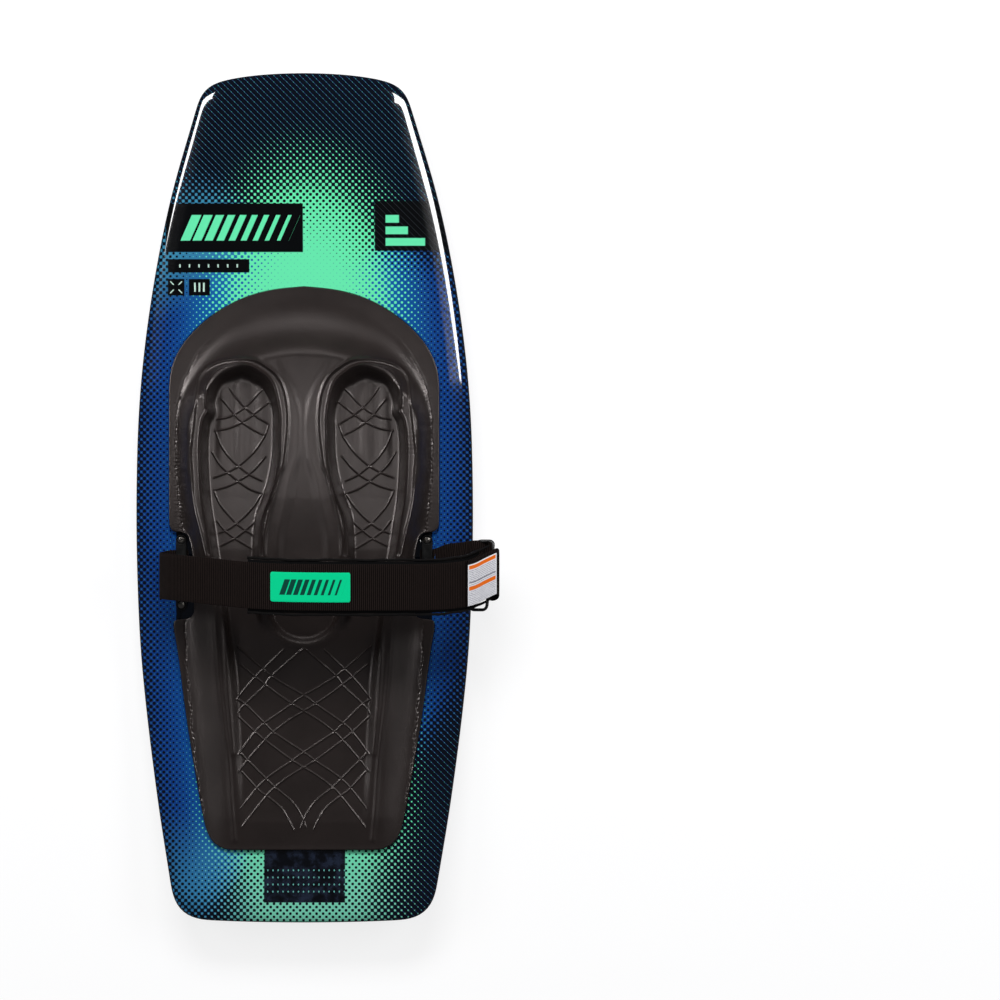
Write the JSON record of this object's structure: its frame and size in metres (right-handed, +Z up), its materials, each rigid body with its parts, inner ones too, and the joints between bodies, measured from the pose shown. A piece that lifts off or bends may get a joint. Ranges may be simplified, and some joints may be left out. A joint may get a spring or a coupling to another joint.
{
  "type": "kneeboard",
  "caption": "Kneeboard with a moulded knee pad, a stepped concave hull and a padded leg strap that closes through a ring with a hook-and-loop tail.",
  "frame": {"origin": "the middle of the flat centre panel of the hull, at half the board's length and on its centre line", "axes": "+X to the rider's right, +Y towards the nose, +Z up out of the deck"},
  "size_m": [0.5678, 1.33, 0.1967],
  "materials": {
    "deck": "gloss printed",
    "hull": "gloss printed",
    "foam": "rigid foam",
    "block": "matte",
    "brass": "machined",
    "pad": "moulded foam, fine grain",
    "nylon": "satin",
    "steel": "polished",
    "webbing": "ribbed weave",
    "neoprene": "knit-faced neoprene",
    "binding": "folded binding tape",
    "patch": "satin moulded",
    "tape": "hook and loop pile",
    "tag": "satin woven",
    "ring": "satin black"
  },
  "bodies": {
    "board": {"deck_shell": "deck", "hull_shell": "hull", "foam_core": "foam", "knee_pad": "pad", "anchor_block_left": "block", "anchor_plate_left": "nylon", "strap_root_left": "webbing", "anchor_block_right": "block", "anchor_plate_right": "nylon", "strap_root_right": "webbing", "threaded_insert_left_front": "brass", "anchor_screw_left_front": "steel", "threaded_insert_left_rear": "brass", "anchor_screw_left_rear": "steel", "threaded_insert_right_front": "brass", "anchor_screw_right_front": "steel", "threaded_insert_right_rear": "brass", "anchor_screw_right_rear": "steel"},
    "strap": {"strap_webbing": "webbing", "strap_fold": "webbing", "strap_padding": "neoprene", "padding_binding_front": "binding", "padding_binding_rear": "binding", "strap_patch": "patch", "loop_tape": "tape", "return_strap": "webbing", "return_strap_loop": "webbing"},
    "tail": {"hook_tape": "tape", "strap_tail": "webbing", "care_tag": "tag"},
    "ring": {"strap_ring": "ring"}
  },
  "joints": [
    {"name": "strap_tilt", "type": "hinge", "parent": "board", "child": "strap", "pos_m": [0, -0.117, 0.05], "axis": [1, 0, 0], "range_deg": [-10, 10]},
    {"name": "tail_peel", "type": "hinge", "parent": "strap", "child": "tail", "pos_m": [0.3, -0.112, 0.098], "axis": [0, 1, 0], "range_deg": [0, 120]},
    {"name": "ring_swing", "type": "hinge", "parent": "strap", "child": "ring", "pos_m": [0.266, -0.119, 0.076], "axis": [0.0698, 0.9976, 0], "range_deg": [-5, 5]}
  ]
}
